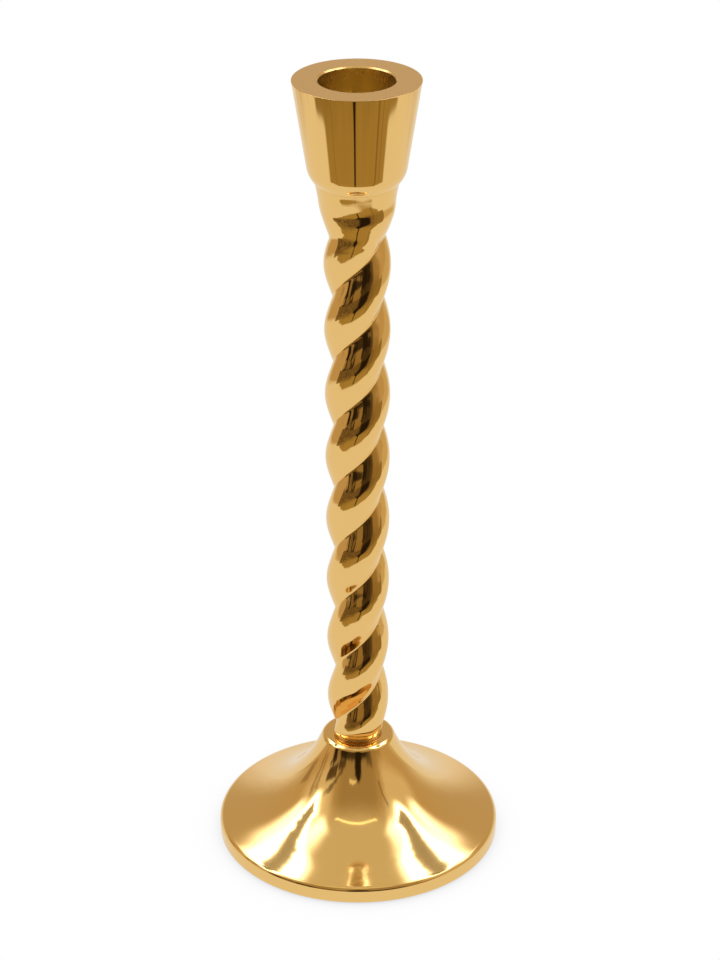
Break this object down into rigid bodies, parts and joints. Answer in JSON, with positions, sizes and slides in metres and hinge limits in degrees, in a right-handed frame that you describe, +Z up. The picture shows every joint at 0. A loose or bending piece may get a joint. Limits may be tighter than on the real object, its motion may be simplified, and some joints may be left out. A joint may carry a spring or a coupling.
{
  "type": "altar candlestick",
  "caption": "Tall polished brass candlestick: tapered candle cup on a two-strand twisted stem, which screws down on a round trumpet-shaped foot with a felt-lined rim.",
  "frame": {"origin": "on the table at the centre of the foot's underside", "axes": "+Z up along the column's axis, -Y to the front, +X to the right as seen from the front"},
  "size_m": [0.0882, 0.0882, 0.25],
  "materials": {
    "polished_brass": "polished",
    "zinc_steel": "satin",
    "green_felt": "matte"
  },
  "bodies": {
    "foot": {"foot": "polished_brass", "felt_ring": "green_felt", "foot_stud": "zinc_steel", "foot_nut": "zinc_steel", "foot_washer": "zinc_steel", "spring_washer": "zinc_steel", "thin_nut": "zinc_steel"},
    "ring": {"seating_ring": "polished_brass"},
    "column": {"candle_cup": "polished_brass", "twisted_stem": "polished_brass", "cup_stud": "zinc_steel"}
  },
  "joints": [
    {"name": "column_unscrew", "type": "hinge", "parent": "foot", "child": "ring", "pos_m": [0, 0, 0.0351], "axis": [0, 0, 1], "range_deg": [0, 3960]},
    {"name": "column_rise", "type": "slide", "parent": "ring", "child": "column", "axis": [0, 0, 1], "range_m": [0, 0.011]}
  ],
  "couplings": [
    {"joint": "column_unscrew", "follows": "column_rise", "rad_per_m": 6283.2}
  ]
}
